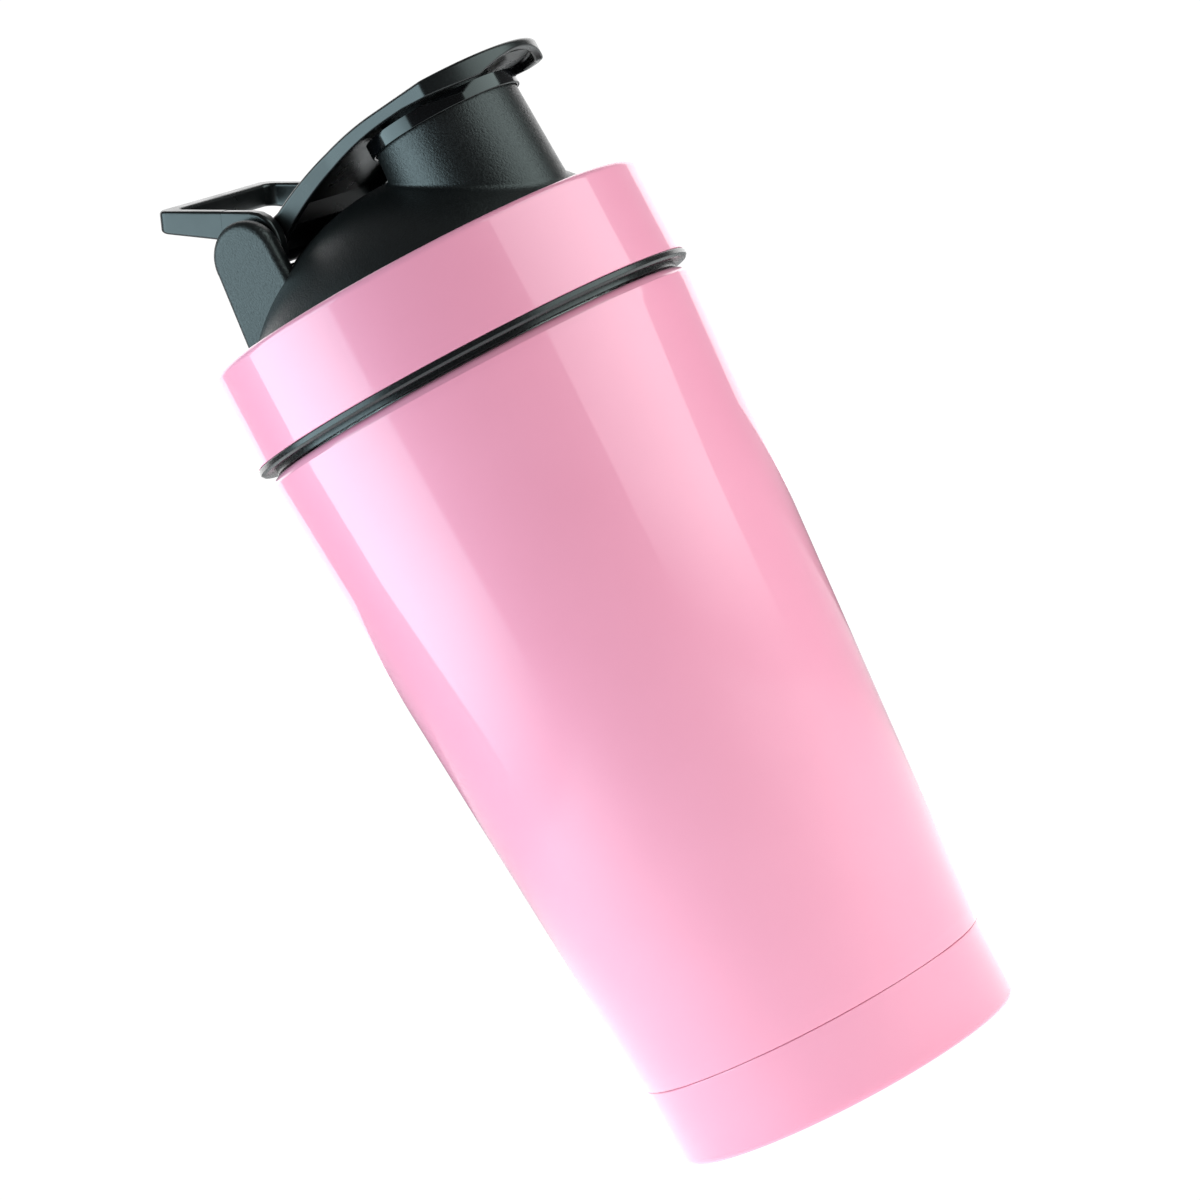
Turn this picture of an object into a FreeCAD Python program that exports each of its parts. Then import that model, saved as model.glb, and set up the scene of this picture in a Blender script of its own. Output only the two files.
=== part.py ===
import FreeCAD, Part
import Sketcher
import math
import os

# Insulated steel shaker bottle: double-wall cup, screw lid with a steel collar, spout,
# flip cap and carry loop. +Z up, origin at the centre of the base, +X towards the spout,
# hinge pin along Y. Sizes in millimetres, angles in degrees.
SIZES = {
    # cup
    "seam_z": 17.3, "base_rad": 38.7, "seam_rad": 39.1, "top_rad": 49.35, "top_z": 162.8,
    "shoulder_z": 166.0, "base_corner": 1.5, "skin": 0.5, "jacket": 3.4, "floor_z": 20.0,
    # neck and thread
    "neck_rad": 43.2, "mouth_z": 183.5, "lead": 12.0, "thread_rise": 6.0, "thread_z": 172.5,
    "thread_out": 44.7, "thread_in": 43.6, "thread_wall": 45.1,
    # screw ring and collar
    "flange_rad": 50.1, "recess_z": 166.3, "flange_low": 167.3, "flange_top": 168.9,
    "collar_rad": 50.0, "collar_top": 190.0, "collar_skin": 0.7,
    # lid top
    "dome_rad": 50.2, "dome_z": 159.6, "lid_wall": 2.0, "wall_rad": 49.15, "trough_z": 187.2,
    "under_z": 185.4, "spout_x": 21.8, "spout_rad": 16.1, "spout_top": 215.9, "bore_rad": 14.2,
    # hinge
    "pin_x": -21.9, "pin_z": 209.1, "pin_rad": 1.5, "pin_half": 23.8, "run_gap": 0.05,
    "ear_in": 20.9, "ear_out": 25.3, "ear_rad": 8.1, "ear_x": -22.0, "ear_z": 208.5,
    # flip cap
    "cap_end": 23.8, "cap_half": 17.1, "cap_top": 220.85, "cap_low": 217.1, "cap_skin": 1.8,
    "knuckle": 3.6,
    # carry loop
    "loop_in": 17.4, "loop_out": 20.6, "loop_reach": 24.2, "loop_bar": 3.5, "loop_low": 4.2,
    "loop_high": 8.9, "loop_tilt": 27.0,
}

V = FreeCAD.Vector
os.makedirs("parts", exist_ok=True)
doc = FreeCAD.newDocument("shaker")
sheet = doc.addObject("Spreadsheet::Sheet", "dims")
for row, (name, value) in enumerate(SIZES.items(), 1):
    sheet.set("A%d" % row, name)
    sheet.set("B%d" % row, str(value))
    sheet.setAlias("B%d" % row, name)
doc.recompute()


def size(word):
    """A sheet size by name, or a plain number as it is."""
    return float(sheet.get(word)) if isinstance(word, str) else float(word)


def make(kind, name, **links):
    """Add a Part feature; text values are expressions on the sheet, the rest is set."""
    feature = doc.addObject(kind, name)
    for prop, value in links.items():
        if isinstance(value, str):
            feature.setExpression(prop, value)
        else:
            setattr(feature, prop, value)
    return feature


def body(name):
    return doc.addObject("PartDesign::Body", name)


def plane(owner, role):
    return [f for f in owner.Origin.OriginFeatures if f.Role == role][0]


def sketch(owner, name, role, corners, offset=0.0):
    """Closed profile. A corner is (across, up) or (across, up, radius): with a radius the side
    leaving it is an arc, bulging right of the way round when the radius is positive. A
    coordinate given as a sheet name is driven by that cell."""
    drawing = owner.newObject("Sketcher::SketchObject", name)
    drawing.AttachmentSupport = [(plane(owner, role), "")]
    drawing.MapMode = "FlatFace"
    drawing.AttachmentOffset = FreeCAD.Placement(V(0, 0, offset), FreeCAD.Rotation())
    points = [V(size(c[0]), size(c[1]), 0) for c in corners]
    ends = []
    for i, corner in enumerate(corners):
        p, q = points[i], points[(i + 1) % len(points)]
        if len(corner) == 2:
            drawing.addGeometry(Part.LineSegment(p, q), False)
            ends.append((1, 2))
            continue
        radius = size(corner[2])
        half = (q - p) * 0.5
        away = math.sqrt(radius * radius - half.Length ** 2)
        left = V(-half.y, half.x, 0).normalize()
        middle = p + half + left * math.copysign(away, radius)
        first, last = (p, q) if radius > 0 else (q, p)
        a0 = math.atan2(first.y - middle.y, first.x - middle.x)
        a1 = math.atan2(last.y - middle.y, last.x - middle.x)
        a1 += 2 * math.pi if a1 < a0 else 0.0
        circle = Part.Circle(middle, V(0, 0, 1), abs(radius))
        drawing.addGeometry(Part.ArcOfCircle(circle, a0, a1), False)
        drawing.addConstraint(Sketcher.Constraint("Radius", i, abs(radius)))
        ends.append((1, 2) if radius > 0 else (2, 1))
    for i, corner in enumerate(corners):
        after = (i + 1) % len(corners)
        drawing.addConstraint(Sketcher.Constraint("Coincident", i, ends[i][1], after, ends[after][0]))
        for way, word in (("DistanceX", corner[0]), ("DistanceY", corner[1])):
            value = size(word)
            if isinstance(word, str) and value > 0:
                row = drawing.addConstraint(Sketcher.Constraint(way, -1, 1, i, ends[i][0], value))
                drawing.setExpression("Constraints[%d]" % row, "dims." + word)
            else:
                drawing.addConstraint(Sketcher.Constraint(way, -1, 1, i, ends[i][0], value))
    return drawing


def turned(name, corners, owner=None, kind="PartDesign::Revolution"):
    """Body turned about its own Z axis from a half section, or a groove in a given body."""
    owner = owner or body(name)
    profile = sketch(owner, name + "_section", "XZ_Plane", corners)
    turn = owner.newObject(kind, name + "_turn")
    turn.Profile = profile
    turn.ReferenceAxis = (profile, ["V_Axis"])
    turn.Angle = 360
    doc.recompute()
    return owner


def slab(name, role, corners, low, high, owner=None, kind="PartDesign::Pad"):
    """Body padded from low to high along the normal of one of its origin planes."""
    owner = owner or body(name)
    profile = sketch(owner, name + "_outline", role, corners, size(low))
    pad = owner.newObject(kind, name + "_pad")
    pad.Profile = profile
    pad.Length = size(high) - size(low)
    doc.recompute()
    return owner


def rounded(owner, name, radius, keep, kind="PartDesign::Fillet"):
    """Fillet or chamfer every edge whose middle point passes the given test."""
    base = owner.Tip if hasattr(owner, "Tip") else owner
    edges = []
    for i, edge in enumerate(base.Shape.Edges, 1):
        mid = edge.valueAt((edge.FirstParameter + edge.LastParameter) / 2.0)
        if keep(mid, edge):
            edges.append("Edge%d" % i)
    feature = owner.newObject(kind, name)
    feature.Base = (base, edges)
    if kind.endswith("Fillet"):
        feature.Radius = radius
    else:
        feature.Size = radius
    doc.recompute()
    return feature


def ring_at(pairs):
    """Test for the circular edges of given radius and height about the Z axis."""
    return lambda mid, edge: any(
        abs(math.hypot(mid.x, mid.y) - r) < 0.02 and abs(mid.z - z) < 0.02 for r, z in pairs)


# ---- cup ----------------------------------------------------------------------------------
slope = (SIZES["top_rad"] - SIZES["seam_rad"]) / (SIZES["top_z"] - SIZES["seam_z"])
skin = SIZES["skin"]
jacket = SIZES["jacket"]
top_rad, top_z, shoulder_z = SIZES["top_rad"], SIZES["top_z"], SIZES["shoulder_z"]
neck_rad = SIZES["neck_rad"]

# outer steel skin: spigot for the base cup, tapered wall, shoulder turned in to the neck
outer_shell = turned("outer_shell", [
    (37.9, 3.0), (38.2, "seam_z"), ("seam_rad", "seam_z"), ("top_rad", "top_z"),
    (top_rad, shoulder_z), ("neck_rad", "shoulder_z"), (neck_rad, shoulder_z - skin),
    (top_rad - skin, shoulder_z - skin), (top_rad - skin, top_z), (38.7, 18.2),
    (37.7, 17.2), (37.4, 3.0)])
rounded(outer_shell, "shoulder_in", 2.5, ring_at([(top_rad - skin, shoulder_z - skin)]))
rounded(outer_shell, "shoulder_out", 3.0, ring_at([(top_rad, shoulder_z)]))

# bottom cup pressed over the spigot; its top edge closes the seam
base_cup = turned("base_cup", [
    (0, 0), ("base_rad", 0), (39.0, "seam_z"), (38.3, "seam_z"), (38.02, 0.8), (0, 0.8)])
rounded(base_cup, "base_edge", SIZES["base_corner"], ring_at([(SIZES["base_rad"], 0)]))
rounded(base_cup, "base_inner_edge", 0.8, ring_at([(38.02, 0.8)]))

# inner steel liner: tapered cup drawn in to the straight neck, with a two-start thread
low_rad = SIZES["seam_rad"] + slope * 4.7 - jacket
high_rad = top_rad - slope * 6.0 - jacket
floor_z = SIZES["floor_z"]
inner_liner = turned("inner_liner", [
    (0, "floor_z"), (low_rad, "floor_z"), (high_rad, 157.0), (neck_rad, 164.0),
    ("neck_rad", "mouth_z"), (neck_rad - skin, "mouth_z"), (neck_rad - skin, 164.0),
    (high_rad - skin, 157.0), (low_rad - skin, floor_z + skin), (0, floor_z + skin)])
rounded(inner_liner, "liner_floor_out", 6.0 + skin, ring_at([(low_rad, floor_z)]))
rounded(inner_liner, "liner_floor_in", 6.0, ring_at([(low_rad - skin, floor_z + skin)]))
rounded(inner_liner, "mouth_round", 0.2, ring_at([(neck_rad, 183.5), (neck_rad - skin, 183.5)]))


def screw(owner, name, corners):
    """Two starts of half a turn each, on the bottle's lead."""
    profile = sketch(owner, name + "_profile", "XZ_Plane", corners)
    helix = owner.newObject("PartDesign::AdditiveHelix", name + "_helix")
    helix.Profile = profile
    helix.ReferenceAxis = (profile, ["V_Axis"])
    helix.Mode = 0
    helix.setExpression("Pitch", "dims.lead")
    helix.setExpression("Height", "dims.thread_rise")
    doc.recompute()
    starts = owner.newObject("PartDesign::PolarPattern", name + "_starts")
    starts.Originals = [helix]
    starts.Axis = (plane(owner, "Z_Axis"), [""])
    starts.Angle = 360
    starts.Occurrences = 2
    owner.Tip = starts
    doc.recompute()


male_z = SIZES["thread_z"]
screw(inner_liner, "neck_thread", [
    (neck_rad - 0.3, male_z - 1.3), ("thread_out", male_z - 0.6), ("thread_out", male_z + 0.6),
    (neck_rad - 0.3, male_z + 1.3)])

# disc welded across the spigot to close the vacuum jacket, with a dimple for the seal
vacuum_base = turned("vacuum_base", [
    (0, 3.8), (6.0, 3.8), (7.0, 3.0), (37.4, 3.0), (37.4, 3.6), (7.3, 3.6), (6.3, 4.4), (0, 4.4)])
vacuum_plug = turned("vacuum_plug", [(0, 2.6), (2.6, 2.6), (4.0, 3.8), (0, 3.8)])
getter = turned("getter", [(10.0, 3.6), (16.0, 3.6), (16.0, 5.1), (10.0, 5.1)])

# ---- lid ----------------------------------------------------------------------------------
wall_rad, trough_z, under_z = SIZES["wall_rad"], SIZES["trough_z"], SIZES["under_z"]
dome_rad, dome_z, lid_wall = SIZES["dome_rad"], SIZES["dome_z"], SIZES["lid_wall"]
flange_top, collar_top = SIZES["flange_top"], SIZES["collar_top"]
collar_rad, collar_skin = SIZES["collar_rad"], SIZES["collar_skin"]

# screw ring: flange under the collar, sleeve inside the lid with the female thread
thread_ring = turned("thread_ring", [
    ("thread_wall", "recess_z"), (46.8, "recess_z"), (46.8, "flange_low"),
    ("flange_rad", "flange_low"), ("flange_rad", "flange_top"), (47.3, "flange_top"),
    (47.3, 184.9), ("thread_wall", 184.9)])
rounded(thread_ring, "flange_bevel", 0.5, ring_at([(50.1, 167.3)]), "PartDesign::Chamfer")
rounded(thread_ring, "flange_round", 0.25, ring_at([(50.1, 168.9)]))
lid_z = male_z - 3.0
screw(thread_ring, "ring_thread", [
    (SIZES["thread_wall"] + 0.3, lid_z - 1.3), (SIZES["thread_wall"] + 0.3, lid_z + 1.3),
    ("thread_in", lid_z + 0.6), ("thread_in", lid_z - 0.6)])

# steel sleeve trapped between the flange and the lid's wall, rolled in at the top
lid_collar = turned("lid_collar", [
    (collar_rad - collar_skin, flange_top), ("collar_rad", "flange_top"),
    ("collar_rad", "collar_top"), (47.9, "collar_top"), (47.9, collar_top - collar_skin),
    (collar_rad - collar_skin, collar_top - collar_skin)])
rounded(lid_collar, "collar_roll", 1.5, ring_at([(50.0, 190.0)]))
rounded(lid_collar, "collar_roll_in", 0.8, ring_at([(49.3, 189.3)]))
rounded(lid_collar, "collar_hem", 0.3, ring_at([(50.0, 168.9)]))

# domed lid: turned blank with a trough, spout, two ears, then hollowed and bored
foot = math.sqrt(dome_rad ** 2 - (trough_z - dome_z) ** 2)
inner_rad = dome_rad - lid_wall
ledge = math.sqrt(inner_rad ** 2 - 37.6 ** 2) + dome_z
lid_blank = turned("lid_blank", [
    (0, flange_top), ("wall_rad", flange_top), (wall_rad, collar_top - collar_skin),
    (47.5, collar_top - collar_skin), (47.2, trough_z), (foot, trough_z, dome_rad),
    (0, dome_z + dome_rad)])
rounded(lid_blank, "wall_round", 0.9, ring_at([(wall_rad, collar_top - collar_skin)]))
lid_void = turned("lid_void", [
    (0, 160.0), (47.6, 160.0), (47.6, under_z), (39.3, under_z), (39.3, 187.0), (37.6, 187.0),
    (37.6, ledge, inner_rad), (0, dome_z + inner_rad)])
spout = make("Part::Cone", "spout", Radius1=17.25, Radius2="dims.spout_rad",
             Height="dims.spout_top - 186")
spout.Placement.Base = V(SIZES["spout_x"], 0, 186)
spout.setExpression("Placement.Base.x", "dims.spout_x")
bore = make("Part::Cylinder", "bore", Radius="dims.bore_rad", Height="dims.spout_top - 170")
bore.Placement.Base = V(SIZES["spout_x"], 0, 180)
bore.setExpression("Placement.Base.x", "dims.spout_x")

pin_x, pin_z = SIZES["pin_x"], SIZES["pin_z"]
ear_x, ear_z, ear_rad = SIZES["ear_x"], SIZES["ear_z"], SIZES["ear_rad"]
ear = slab("ear", "XZ_Plane", [
    (-32.5, 187.6), (-13.7, 187.6), (ear_x + ear_rad, ear_z, ear_rad),
    (ear_x, ear_z + ear_rad, ear_rad), (ear_x - ear_rad, ear_z)], "ear_in", "ear_out")
rounded(ear, "ear_round", 1.1, lambda mid, edge: mid.y < -25.2 and mid.z > 188)
ear_web = slab("ear_web", "XZ_Plane", [
    (-26.0, 192.0), (-18.5, 192.0), (-18.5, 201.8), (-26.0, 201.8)], -21.5, 21.5)
mid_web = slab("mid_web", "XZ_Plane", [
    (-29.5, 192.0), (-21.5, 192.0), (-21.5, 204.9), (-28.0, 204.9), (-29.5, 203.4)], -16.9, 16.9)
ear_far = doc.addObject("Part::Mirroring", "ear_far")
ear_far.Source = ear
ear_far.Normal = V(0, 1, 0)


def across(name, radius, half):
    """Round bar along Y through the hinge centre."""
    bar = make("Part::Cylinder", name, Radius=radius, Height="2 * " + half)
    bar.Placement = FreeCAD.Placement(V(pin_x, -size(half.split(".")[-1]), pin_z),
                                      FreeCAD.Rotation(V(1, 0, 0), -90))
    bar.setExpression("Placement.Base.x", "dims.pin_x")
    bar.setExpression("Placement.Base.y", "-" + half)
    bar.setExpression("Placement.Base.z", "dims.pin_z")
    return bar


hinge_pin = across("hinge_pin", "dims.pin_rad", "dims.pin_half")
pin_seat = across("pin_seat", "dims.pin_rad", "dims.pin_half")
lid_solid = make("Part::MultiFuse", "lid_solid", Shapes=[lid_blank, spout, ear, ear_far, ear_web, mid_web])
lid_tools = make("Part::MultiFuse", "lid_tools", Shapes=[lid_void, bore, pin_seat])
lid_shell = make("Part::Cut", "lid_shell", Base=lid_solid, Tool=lid_tools)

lid_gasket = turned("lid_gasket", [(39.5, 183.6), (44.9, 183.6), (44.9, under_z), (39.5, under_z)])
rounded(lid_gasket, "gasket_round", 0.4, ring_at([(39.5, 183.6), (44.9, 183.6)]))

# mixing grid: a disc of holes on an upstand that snaps under the dome
mixing_grid = turned("mixing_grid", [
    (0, 179.0), (41.6, 179.0), (41.6, 181.0), (39.1, 181.0), (39.1, 187.0), (37.4, 187.0),
    (37.4, 181.0), (0, 181.0)])
for ring, (radius, count) in enumerate(((9.0, 6), (18.5, 10), (29.0, 16))):
    hole = sketch(mixing_grid, "hole_%d" % ring, "XY_Plane",
                  [(radius - 3.0, -3.4), (radius + 3.8, -4.4), (radius + 3.8, 4.4), (radius - 3.0, 3.4)],
                  178.0)
    cut = mixing_grid.newObject("PartDesign::Pocket", "hole_cut_%d" % ring)
    cut.Profile = hole
    cut.Length = 6
    cut.Reversed = True
    doc.recompute()
    holes = mixing_grid.newObject("PartDesign::PolarPattern", "hole_ring_%d" % ring)
    holes.Originals = [cut]
    holes.Axis = (plane(mixing_grid, "Z_Axis"), [""])
    holes.Angle = 360
    holes.Occurrences = count
    mixing_grid.Tip = holes
    doc.recompute()

# ---- flip cap -----------------------------------------------------------------------------
spout_x, cap_end, cap_half = SIZES["spout_x"], SIZES["cap_end"], SIZES["cap_half"]
cap_top, cap_low, cap_skin = SIZES["cap_top"], SIZES["cap_low"], SIZES["cap_skin"]


def cap_outline(inset, back):
    """Plan of the cap, anticlockwise: straight arm that clears the loop, then flares to the round end."""
    half, end = cap_half - inset, cap_end - inset
    flank = 32.8 - 0.3 * inset
    wide = math.sqrt(end ** 2 - (flank - spout_x) ** 2)
    return [(back, -half), (2.5, -half), (flank, -wide, end), (spout_x + end, 0, end),
            (flank, wide), (2.5, half), (back, half)]


def cap_side(drop, low, back):
    """Side view of the cap's top face, drawn anticlockwise and closed down to a low line."""
    return [(back, low), (47.0, low), (47.0, cap_top - drop), (18.0, cap_top - drop, 88.0),
            (-14.7, 214.5 - drop), (back, 213.2 - drop)]


cap_plan = slab("cap_plan", "XY_Plane", cap_outline(0.0, pin_x), 200.0, 225.0)
cap_roof = slab("cap_roof", "XZ_Plane", [
    (pin_x, 205.6), (-18.6, 207.3), (-14.7, 209.5, -80.0), (21.0, 217.9), (26.0, 217.9),
    (41.0, 216.5), (47.0, 216.5), (47.0, cap_top), (18.0, cap_top, 88.0), (-14.7, 214.5),
    (pin_x, 213.2)], -26.0, 26.0)
cap_block = make("Part::MultiCommon", "cap_block", Shapes=[cap_plan, cap_roof])
doc.recompute()
hollow_plan = slab("hollow_plan", "XY_Plane", cap_outline(cap_skin, -12.0), 200.0, 225.0)
hollow_roof = slab("hollow_roof", "XZ_Plane", cap_side(cap_skin, 205.0, -12.0), -26.0, 26.0)
cap_hollow = make("Part::MultiCommon", "cap_hollow", Shapes=[hollow_plan, hollow_roof])
cap_knuckle = across("cap_knuckle", "dims.knuckle", "dims.cap_half")
cap_boss = make("Part::Cylinder", "cap_boss", Radius=12.5, Height="dims.cap_top - 0.9 - dims.cap_low")
cap_boss.Placement.Base = V(spout_x, 0, cap_low)
cap_boss.setExpression("Placement.Base.x", "dims.spout_x")
cap_boss.setExpression("Placement.Base.z", "dims.cap_low")
thumb = make("Part::Cylinder", "thumb", Radius=36, Height=14)
thumb.Placement = FreeCAD.Placement(V(spout_x + 16, 0, 182.9), FreeCAD.Rotation(V(0, 1, 0), 90))
cap_hole = across("cap_hole", "dims.pin_rad + dims.run_gap", "dims.ear_in")
cap_shell = make("Part::Cut", "cap_shell", Base=cap_block, Tool=cap_hollow)
cap_solid = make("Part::MultiFuse", "cap_solid", Shapes=[cap_shell, cap_knuckle, cap_boss])
cap_tools = make("Part::MultiFuse", "cap_tools", Shapes=[thumb, cap_hole])
flip_cap = make("Part::Cut", "flip_cap", Base=cap_solid, Tool=cap_tools)

# sealing cup under the cap: plug inside the spout, skirt around it
cap_seal = turned("cap_seal", [
    (0, 215.6), (11.6, 215.6), (11.6, 210.6), (13.2, 210.6), (13.7, 216.3), (16.4, 216.3),
    (16.4, 214.0), (17.1, 214.0), (17.1, cap_low), (0, cap_low)])
rounded(cap_seal, "seal_tip", 0.3, ring_at([(17.1, 214.0), (13.2, 210.6)]))
cap_seal.Placement.Base = V(spout_x, 0, 0)
cap_seal.setExpression("Placement.Base.x", "dims.spout_x")

# ---- carry loop ---------------------------------------------------------------------------
# drawn about the pin: local X runs out along the loop, local Z is square to it
low, high, reach = SIZES["loop_low"], SIZES["loop_high"], SIZES["loop_reach"]
loop_out, loop_in, loop_bar = SIZES["loop_out"], SIZES["loop_in"], SIZES["loop_bar"]
carry_loop = slab("carry_loop", "XZ_Plane", [
    (0, -6.8, 6.8), (6.8, 0), (9.4, low - 1.3), (reach, low), (reach, high), (0.6, high),
    (-4.6, 6.6), (-6.8, 0, 6.8)], -loop_out, loop_out)
rounded(carry_loop, "loop_corner", 2.6,
        lambda mid, edge: abs(mid.x - reach) < 0.01 and abs(abs(mid.y) - loop_out) < 0.01)
gap = slab("loop_gap", "XZ_Plane", [
    (-12, -9), (reach - loop_bar, -9), (reach - loop_bar, 12), (-12, 12)],
    -loop_in, loop_in, carry_loop, "PartDesign::Pocket")
carry_loop.Tip.Reversed = True
doc.recompute()
rounded(carry_loop, "loop_inner_corner", 1.6,
        lambda mid, edge: abs(mid.x - reach + loop_bar) < 0.01 and abs(abs(mid.y) - loop_in) < 0.01)
tilt = math.radians(SIZES["loop_tilt"])
out, up = V(-math.cos(tilt), 0, math.sin(tilt)), V(math.sin(tilt), 0, math.cos(tilt))
carry_loop.Placement = FreeCAD.Placement(V(pin_x, 0, pin_z), FreeCAD.Rotation(out, V(0, -1, 0), up, "XZY"))
eye = make("Part::Cylinder", "eye", Radius="dims.pin_rad + dims.run_gap", Height=60)
eye.Placement = FreeCAD.Placement(V(pin_x, -30, pin_z), FreeCAD.Rotation(V(1, 0, 0), -90))
loop_cut = make("Part::Cut", "loop_cut", Base=carry_loop, Tool=eye)
doc.recompute()

# ---- save ---------------------------------------------------------------------------------
nodes = {
    "outer_shell": outer_shell, "base_cup": base_cup, "inner_liner": inner_liner,
    "vacuum_base": vacuum_base, "vacuum_plug": vacuum_plug, "getter": getter,
    "thread_ring": thread_ring, "lid_collar": lid_collar, "lid_shell": lid_shell,
    "lid_gasket": lid_gasket, "mixing_grid": mixing_grid, "hinge_pin": hinge_pin,
    "flip_cap": flip_cap, "cap_seal": cap_seal, "carry_loop": loop_cut,
}
bad = [o.Name for o in doc.Objects if "Invalid" in o.State or "Error" in o.State]
for name, part in nodes.items():
    part.Label = name
    shape = part.Shape
    if shape.isNull() or not shape.isValid() or len(shape.Solids) != 1:
        bad.append(name)
        continue
    shape.exportStep("parts/%s.step" % name)
    box = shape.optimalBoundingBox(False)
    print("%-12s %8.0f mm3  x %.1f..%.1f  y %.1f..%.1f  z %.1f..%.1f" % (
        name, shape.Volume, box.XMin, box.XMax, box.YMin, box.YMax, box.ZMin, box.ZMax))
if bad:
    raise SystemExit("failed: " + ", ".join(bad))
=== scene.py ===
import bmesh
import bpy
import math
from mathutils import Matrix, Vector


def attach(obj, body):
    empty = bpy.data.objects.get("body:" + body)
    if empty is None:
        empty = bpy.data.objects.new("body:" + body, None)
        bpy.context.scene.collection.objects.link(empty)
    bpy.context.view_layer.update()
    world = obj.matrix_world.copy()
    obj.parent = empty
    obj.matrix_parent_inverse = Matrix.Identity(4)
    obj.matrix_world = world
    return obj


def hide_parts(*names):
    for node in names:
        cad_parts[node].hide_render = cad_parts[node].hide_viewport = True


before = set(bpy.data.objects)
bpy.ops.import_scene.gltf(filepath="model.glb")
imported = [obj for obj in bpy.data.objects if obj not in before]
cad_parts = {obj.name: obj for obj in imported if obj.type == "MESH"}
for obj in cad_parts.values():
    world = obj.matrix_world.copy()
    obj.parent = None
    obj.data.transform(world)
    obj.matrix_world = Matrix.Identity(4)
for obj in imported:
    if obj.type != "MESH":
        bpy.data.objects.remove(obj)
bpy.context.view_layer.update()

MM = 0.001

# ---- inner cup -------------------------------------------------------------------------------
# Thin stainless liner, drawn and spun, with the straight threaded neck at its top. Left bare
# and finely turned, so that it shows as brushed rings when the lid is off.


def finish(name, colour, roughness, **sockets):
    """New material with one shader; numbers that are the same all over go on its sockets."""
    material = bpy.data.materials.new(name)
    material.use_nodes = True
    shader = material.node_tree.nodes["Principled BSDF"]
    shader.inputs["Base Color"].default_value = (*colour, 1.0)
    shader.inputs["Roughness"].default_value = roughness
    for socket, value in sockets.items():
        shader.inputs[socket.replace("_", " ")].default_value = value
    return material


def node(material, kind, **inputs):
    """Add a texture or maths node; an input is a number, a colour or another node's output."""
    made = material.node_tree.nodes.new(kind)
    for key, value in inputs.items():
        socket = made.inputs[int(key[1:])] if key[1:].isdigit() else made.inputs[key.replace("_", " ")]
        if isinstance(value, bpy.types.NodeSocket):
            material.node_tree.links.new(value, socket)
        else:
            socket.default_value = value
    return made


def join(material, source, socket):
    material.node_tree.links.new(source, material.node_tree.nodes["Principled BSDF"].inputs[socket])


def place_of(material, stretch=(1.0, 1.0, 1.0)):
    """Object coordinates in metres, stretched."""
    where = node(material, "ShaderNodeTexCoord")
    return node(material, "ShaderNodeMapping", Vector=where.outputs["Object"],
                Scale=stretch).outputs["Vector"]


def grain(material, place, scale, detail=2.0):
    """Even noise, value about a half."""
    return node(material, "ShaderNodeTexNoise", Vector=place, Scale=scale,
                Detail=detail).outputs["Fac"]


def spread(material, value, low, high, start=0.3, stop=0.7):
    """Map a noise value from its own spread to a wanted one."""
    return node(material, "ShaderNodeMapRange", Value=value, From_Min=start, From_Max=stop,
                To_Min=low, To_Max=high).outputs["Result"]


def relief(material, heights, strength=1.0):
    """Bump from (value, height in millimetres) pairs, laid over one another."""
    under = None
    for value, height in heights:
        bump = node(material, "ShaderNodeBump", Height=value, Strength=strength,
                    Distance=height * MM)
        if under:
            material.node_tree.links.new(under, bump.inputs["Normal"])
        under = bump.outputs["Normal"]
    join(material, under, "Normal")


def tint(material, value, dark, light):
    """Colour between two, by a noise value."""
    mix = node(material, "ShaderNodeMix")
    mix.data_type = "RGBA"
    material.node_tree.links.new(value, mix.inputs["Factor"])
    mix.inputs[6].default_value = (*dark, 1.0)
    mix.inputs[7].default_value = (*light, 1.0)
    join(material, mix.outputs[2], "Base Color")


spun_steel = finish("spun_steel", (0.62, 0.61, 0.60), 0.28, Metallic=1.0)
lines = grain(spun_steel, place_of(spun_steel, (60.0, 60.0, 9000.0)), 1.0, 3.0)
clouds = grain(spun_steel, place_of(spun_steel), 90.0)
join(spun_steel, spread(spun_steel, lines, 0.2, 0.38), "Roughness")
tint(spun_steel, spread(spun_steel, clouds, 0.0, 1.0), (0.56, 0.55, 0.54), (0.66, 0.65, 0.64))
relief(spun_steel, [(lines, 0.012)])


def dress(name, material):
    """Give a CAD part its finish."""
    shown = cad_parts[name]
    shown = shown if isinstance(shown, bpy.types.Object) else bpy.data.objects[name]
    for slot in shown.material_slots:
        slot.material = material
    return shown


dress("inner_liner", spun_steel)

# ---- vacuum closure --------------------------------------------------------------------------
# Welded base disc of the same steel, a plug of solder in its pumping hole, and the sintered
# getter pill that keeps the vacuum; the base cup hides all three.

getter_metal = finish("getter_metal", (0.12, 0.12, 0.125), 0.6, Metallic=0.8)
pores = grain(getter_metal, place_of(getter_metal), 1600.0)
join(getter_metal, spread(getter_metal, pores, 0.5, 0.8), "Roughness")
relief(getter_metal, [(pores, 0.05)])

solder = finish("solder", (0.45, 0.45, 0.43), 0.35, Metallic=1.0)
ripples = grain(solder, place_of(solder), 700.0)
join(solder, spread(solder, ripples, 0.25, 0.5), "Roughness")
relief(solder, [(ripples, 0.08)])

dress("vacuum_base", spun_steel)
dress("getter", getter_metal)
dress("vacuum_plug", solder)

# ---- outer shell -----------------------------------------------------------------------------
# Tapered steel skin of the cup, shoulder turned in under the lid, lower edge stepped in as a
# spigot for the base cup. Sprayed pearl rose with a thick clear lacquer.


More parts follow.
